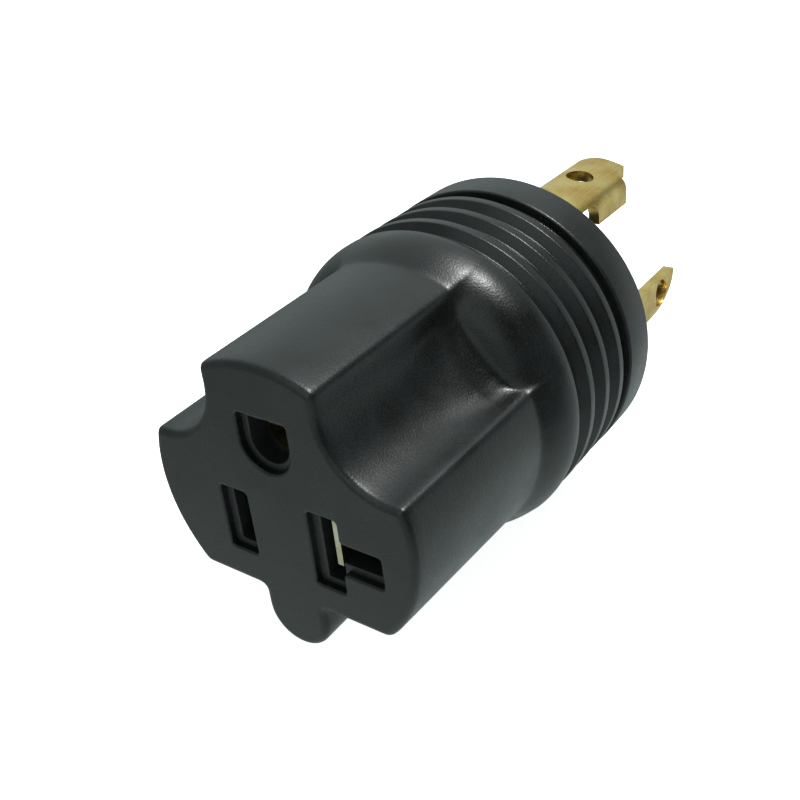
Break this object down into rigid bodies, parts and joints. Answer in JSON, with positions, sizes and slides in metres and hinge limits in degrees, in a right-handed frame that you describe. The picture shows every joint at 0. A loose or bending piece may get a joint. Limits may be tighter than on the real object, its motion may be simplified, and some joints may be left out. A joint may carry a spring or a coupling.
{
  "type": "power adapter dogbone",
  "caption": "Compact moulded power adapter: a lobed socket face with a T opening at one end, a ribbed round collar and curved locking brass blades at the other.",
  "frame": {"origin": "centre of the plug seating face, the flat back face that the blades stand out of", "axes": "+Y along the plug axis towards the blade tips, +Z towards the ground opening and the ground blade, +X towards the T opening"},
  "size_m": [0.0417, 0.0772, 0.0416],
  "materials": {
    "jacket_vinyl": "black moulded vinyl, fine spark-eroded grain, satin",
    "core_plastic": "black moulded nylon, matt",
    "mould_plastic": "dark moulded filler, matt",
    "carrier_plastic": "black moulded nylon, satin",
    "contact_metal": "tin plated brass strip, bright",
    "blade_brass": "stamped brass, satin",
    "copper": "stranded copper",
    "sleeve_black": "vinyl insulation, satin",
    "sleeve_white": "vinyl insulation, satin",
    "sleeve_green": "vinyl insulation, satin"
  },
  "bodies": {
    "adapter": {"jacket": "jacket_vinyl", "socket_block": "core_plastic", "block_cover": "core_plastic", "inner_mould": "mould_plastic", "blade_carrier": "carrier_plastic", "hot_contact": "contact_metal", "neutral_contact": "contact_metal", "ground_contact": "contact_metal", "hot_blade": "blade_brass", "neutral_blade": "blade_brass", "ground_blade": "blade_brass", "hot_core": "copper", "neutral_core": "copper", "ground_core": "copper", "hot_sleeve": "sleeve_black", "neutral_sleeve": "sleeve_white", "ground_sleeve": "sleeve_green"},
    "hot_leaf_inner_body": {"hot_leaf_inner": "contact_metal"},
    "hot_leaf_outer_body": {"hot_leaf_outer": "contact_metal"},
    "neutral_leaf_body": {"neutral_leaf": "contact_metal"},
    "ground_leaf_body": {"ground_leaf": "contact_metal"}
  },
  "joints": [
    {"name": "hot_leaf_inner_flex", "type": "hinge", "parent": "adapter", "child": "hot_leaf_inner_body", "pos_m": [-0.00505, -0.0308, -0.0033], "axis": [0, 0, 1], "range_deg": [0, 3], "stiffness_Nm_per_rad": 0.2},
    {"name": "hot_leaf_outer_flex", "type": "hinge", "parent": "adapter", "child": "hot_leaf_outer_body", "pos_m": [-0.00765, -0.0308, -0.0033], "axis": [0, 0, -1], "range_deg": [0, 3], "stiffness_Nm_per_rad": 0.2},
    {"name": "neutral_leaf_flex", "type": "hinge", "parent": "adapter", "child": "neutral_leaf_body", "pos_m": [0.00505, -0.0308, -0.0033], "axis": [0, 0, -1], "range_deg": [0, 3], "stiffness_Nm_per_rad": 0.2},
    {"name": "ground_leaf_flex", "type": "hinge", "parent": "adapter", "child": "ground_leaf_body", "pos_m": [0, -0.0308, 0.01135], "axis": [-1, 0, 0], "range_deg": [0, 3], "stiffness_Nm_per_rad": 0.2}
  ]
}
